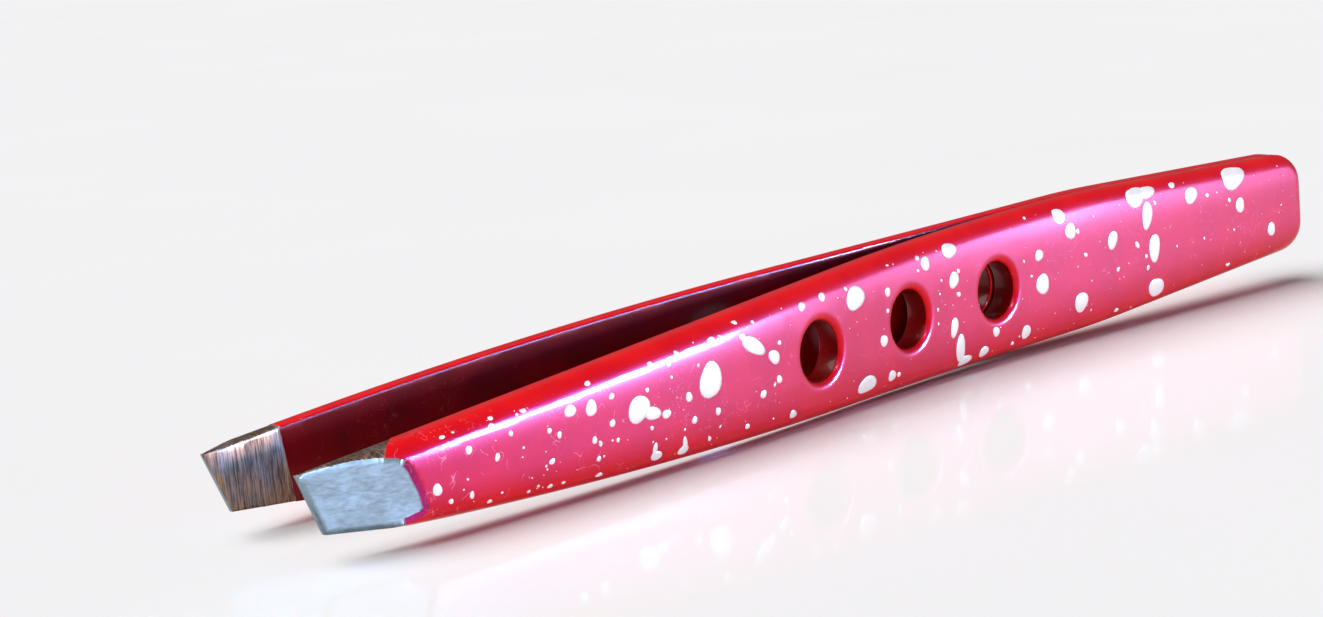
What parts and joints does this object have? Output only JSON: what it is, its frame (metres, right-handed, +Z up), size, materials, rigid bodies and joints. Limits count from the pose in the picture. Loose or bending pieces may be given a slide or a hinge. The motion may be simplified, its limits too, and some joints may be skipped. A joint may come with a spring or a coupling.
{
  "type": "slant tweezers",
  "caption": "Slant-tip tweezers with red lacquered arms welded at the rear, round finger-grip holes, white splatter and bare ground steel tips.",
  "frame": {"origin": "below the centre of the tweezers' bounding box, level with the lowest edge that they lie on", "axes": "+X along the tweezers from the tips to the welded rear end, +Y across the gap from the left arm to the right arm, +Z up across the width of the arms"},
  "size_m": [0.095, 0.0128, 0.0096],
  "materials": {
    "red_lacquer": "high-gloss red lacquer with white splatter",
    "ground_steel": "ground and brushed bare stainless steel",
    "weld_metal": "as welded, hidden between the tangs"
  },
  "bodies": {
    "tang": {"left_tang": "red_lacquer", "right_tang": "red_lacquer", "weld_front": "weld_metal", "weld_middle": "weld_metal", "weld_rear": "weld_metal"},
    "left_arm": {"left_blade": "red_lacquer", "left_tip": "ground_steel"},
    "right_arm": {"right_blade": "red_lacquer", "right_tip": "ground_steel"}
  },
  "joints": [
    {"name": "left_arm_flex", "type": "hinge", "parent": "tang", "child": "left_arm", "pos_m": [0.0125, -0.00117, 0.0048], "axis": [0, 0, -1], "range_deg": [0, 4.11], "stiffness_Nm_per_rad": 1.5},
    {"name": "right_arm_flex", "type": "hinge", "parent": "tang", "child": "right_arm", "pos_m": [0.0125, 0.00117, 0.0048], "axis": [0, 0, 1], "range_deg": [0, 4.11], "stiffness_Nm_per_rad": 1.5}
  ]
}
